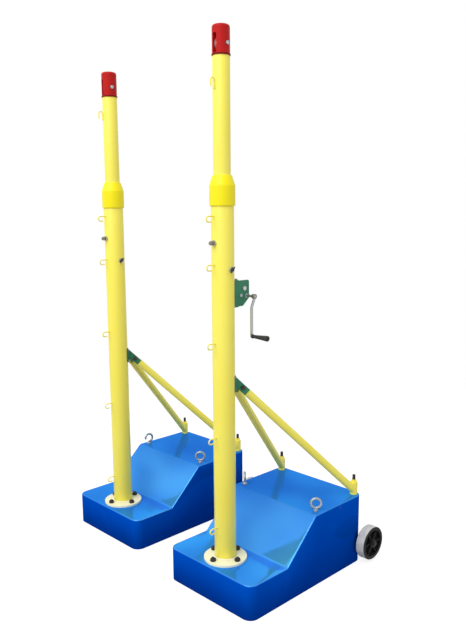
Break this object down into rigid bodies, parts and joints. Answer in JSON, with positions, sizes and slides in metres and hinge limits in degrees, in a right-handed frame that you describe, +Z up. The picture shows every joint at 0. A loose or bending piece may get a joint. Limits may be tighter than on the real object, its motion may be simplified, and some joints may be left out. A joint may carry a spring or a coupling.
{
  "type": "volleyball net posts",
  "caption": "Mobile telescopic net posts on ballasted wheeled bases, with braces, rope pulleys in the heads, tie hooks, clamp screws and a geared hand winch.",
  "frame": {"origin": "on the floor under the axis of the post that carries the winch", "axes": "+Z up along the posts, +X from the bases' low fronts to their high rears, +Y from the winch post towards the plain post"},
  "size_m": [0.974, 1.603, 2.55],
  "materials": {
    "blue_enamel": "gloss",
    "yellow_paint": "satin",
    "collar_paint": "satin",
    "flange_paint": "satin",
    "red_paint": "satin",
    "green_paint": "gloss",
    "zinc_steel": "satin",
    "dark_steel": "satin",
    "pulley_steel": "satin",
    "plate_steel": "matte",
    "ballast_iron": "rough",
    "tyre_rubber": "matte",
    "hub_plastic": "matte",
    "grip_plastic": "matte"
  },
  "bodies": {
    "posts_and_bases": {"winch_base_shell": "blue_enamel", "winch_lower_tube": "yellow_paint", "winch_collar": "collar_paint", "winch_brace_bracket": "green_paint", "winch_left_brace": "yellow_paint", "winch_right_brace": "yellow_paint", "plain_base_shell": "blue_enamel", "plain_lower_tube": "yellow_paint", "plain_collar": "collar_paint", "plain_brace_bracket": "green_paint", "plain_left_brace": "yellow_paint", "plain_right_brace": "yellow_paint", "base_plates": "plate_steel", "ballast_blocks": "ballast_iron", "foot_flanges": "flange_paint", "flange_bolts": "dark_steel", "clamp_bosses": "zinc_steel", "net_hooks": "yellow_paint", "foot_studs": "dark_steel", "foot_nuts": "yellow_paint", "brace_bolts": "dark_steel", "eye_bolts": "zinc_steel", "axles": "dark_steel", "axle_brackets": "blue_enamel", "wheel_nuts": "dark_steel", "winch_saddle": "green_paint", "winch_frame": "green_paint", "drum_axle": "zinc_steel", "winch_bolts": "zinc_steel"},
    "winch_mast": {"winch_mast_tube": "yellow_paint", "winch_guide_ring": "zinc_steel", "winch_pulley_head": "red_paint", "winch_pulley_bolt": "zinc_steel", "winch_mast_hook": "yellow_paint"},
    "plain_mast": {"plain_mast_tube": "yellow_paint", "plain_guide_ring": "zinc_steel", "plain_pulley_head": "red_paint", "plain_pulley_bolt": "zinc_steel", "plain_mast_hook": "yellow_paint"},
    "winch_top_pulley": {"winch_pulley": "pulley_steel"},
    "plain_top_pulley": {"plain_pulley": "pulley_steel"},
    "winch_knob": {"winch_knob_screw": "zinc_steel"},
    "plain_knob": {"plain_knob_screw": "zinc_steel"},
    "winch_t_handle": {"winch_t_screw": "dark_steel"},
    "plain_t_handle": {"plain_t_screw": "dark_steel"},
    "drum": {"winch_drum": "dark_steel", "drum_gear": "dark_steel"},
    "crank": {"pinion_shaft": "zinc_steel", "ratchet_wheel": "zinc_steel", "crank_arm": "zinc_steel"},
    "grip": {"crank_grip": "grip_plastic"},
    "pawl": {"ratchet_pawl": "dark_steel"},
    "winch_left_wheel": {"winch_left_wheel_hub": "hub_plastic", "winch_left_wheel_tyre": "tyre_rubber"},
    "winch_right_wheel": {"winch_right_wheel_hub": "hub_plastic", "winch_right_wheel_tyre": "tyre_rubber"},
    "plain_left_wheel": {"plain_left_wheel_hub": "hub_plastic", "plain_left_wheel_tyre": "tyre_rubber"},
    "plain_right_wheel": {"plain_right_wheel_hub": "hub_plastic", "plain_right_wheel_tyre": "tyre_rubber"}
  },
  "joints": [
    {"name": "winch_mast_slide", "type": "slide", "parent": "posts_and_bases", "child": "winch_mast", "axis": [0, 0, 1], "range_m": [-0.34, 0.07]},
    {"name": "winch_pulley_spin", "type": "hinge", "parent": "winch_mast", "child": "winch_top_pulley", "pos_m": [0, 0, 2.473], "axis": [0, 1, 0], "continuous": true},
    {"name": "winch_knob_turn", "type": "hinge", "parent": "posts_and_bases", "child": "winch_knob", "pos_m": [-0.051, 0, 1.646], "axis": [-1, 0, 0], "range_deg": [0, 360]},
    {"name": "winch_t_handle_turn", "type": "hinge", "parent": "posts_and_bases", "child": "winch_t_handle", "pos_m": [0, -0.051, 1.53], "axis": [0, -1, 0], "range_deg": [0, 360]},
    {"name": "winch_left_wheel_spin", "type": "hinge", "parent": "posts_and_bases", "child": "winch_left_wheel", "pos_m": [0.722, 0.316, 0.1], "axis": [0, 1, 0], "continuous": true},
    {"name": "winch_right_wheel_spin", "type": "hinge", "parent": "posts_and_bases", "child": "winch_right_wheel", "pos_m": [0.722, -0.316, 0.1], "axis": [0, 1, 0], "continuous": true},
    {"name": "plain_mast_slide", "type": "slide", "parent": "posts_and_bases", "child": "plain_mast", "axis": [0, 0, 1], "range_m": [-0.28, 0.13]},
    {"name": "plain_pulley_spin", "type": "hinge", "parent": "plain_mast", "child": "plain_top_pulley", "pos_m": [0.05, 0.89, 2.413], "axis": [0.2419, 0.9703, 0], "continuous": true},
    {"name": "plain_knob_turn", "type": "hinge", "parent": "posts_and_bases", "child": "plain_knob", "pos_m": [-0.001, 0.89, 1.646], "axis": [-1, 0, 0], "range_deg": [0, 360]},
    {"name": "plain_t_handle_turn", "type": "hinge", "parent": "posts_and_bases", "child": "plain_t_handle", "pos_m": [0.05, 0.839, 1.53], "axis": [0, -1, 0], "range_deg": [0, 360]},
    {"name": "plain_left_wheel_spin", "type": "hinge", "parent": "posts_and_bases", "child": "plain_left_wheel", "pos_m": [0.772, 1.206, 0.1], "axis": [0, 1, 0], "continuous": true},
    {"name": "plain_right_wheel_spin", "type": "hinge", "parent": "posts_and_bases", "child": "plain_right_wheel", "pos_m": [0.772, 0.574, 0.1], "axis": [0, 1, 0], "continuous": true},
    {"name": "drum_spin", "type": "hinge", "parent": "posts_and_bases", "child": "drum", "pos_m": [0.093, 0, 1.441], "axis": [0, 1, 0], "continuous": true},
    {"name": "crank_spin", "type": "hinge", "parent": "posts_and_bases", "child": "crank", "pos_m": [0.10677, 0, 1.40693], "axis": [0, 1, 0], "continuous": true},
    {"name": "grip_spin", "type": "hinge", "parent": "crank", "child": "grip", "pos_m": [0.10677, -0.115, 1.22493], "axis": [0, 1, 0], "continuous": true},
    {"name": "pawl_swing", "type": "hinge", "parent": "posts_and_bases", "child": "pawl", "pos_m": [0.07277, -0.03, 1.41093], "axis": [0, -1, 0], "range_deg": [-6.5, 25]}
  ],
  "couplings": [
    {"joint": "crank_spin", "follows": "drum_spin", "ratio": -2.5}
  ]
}
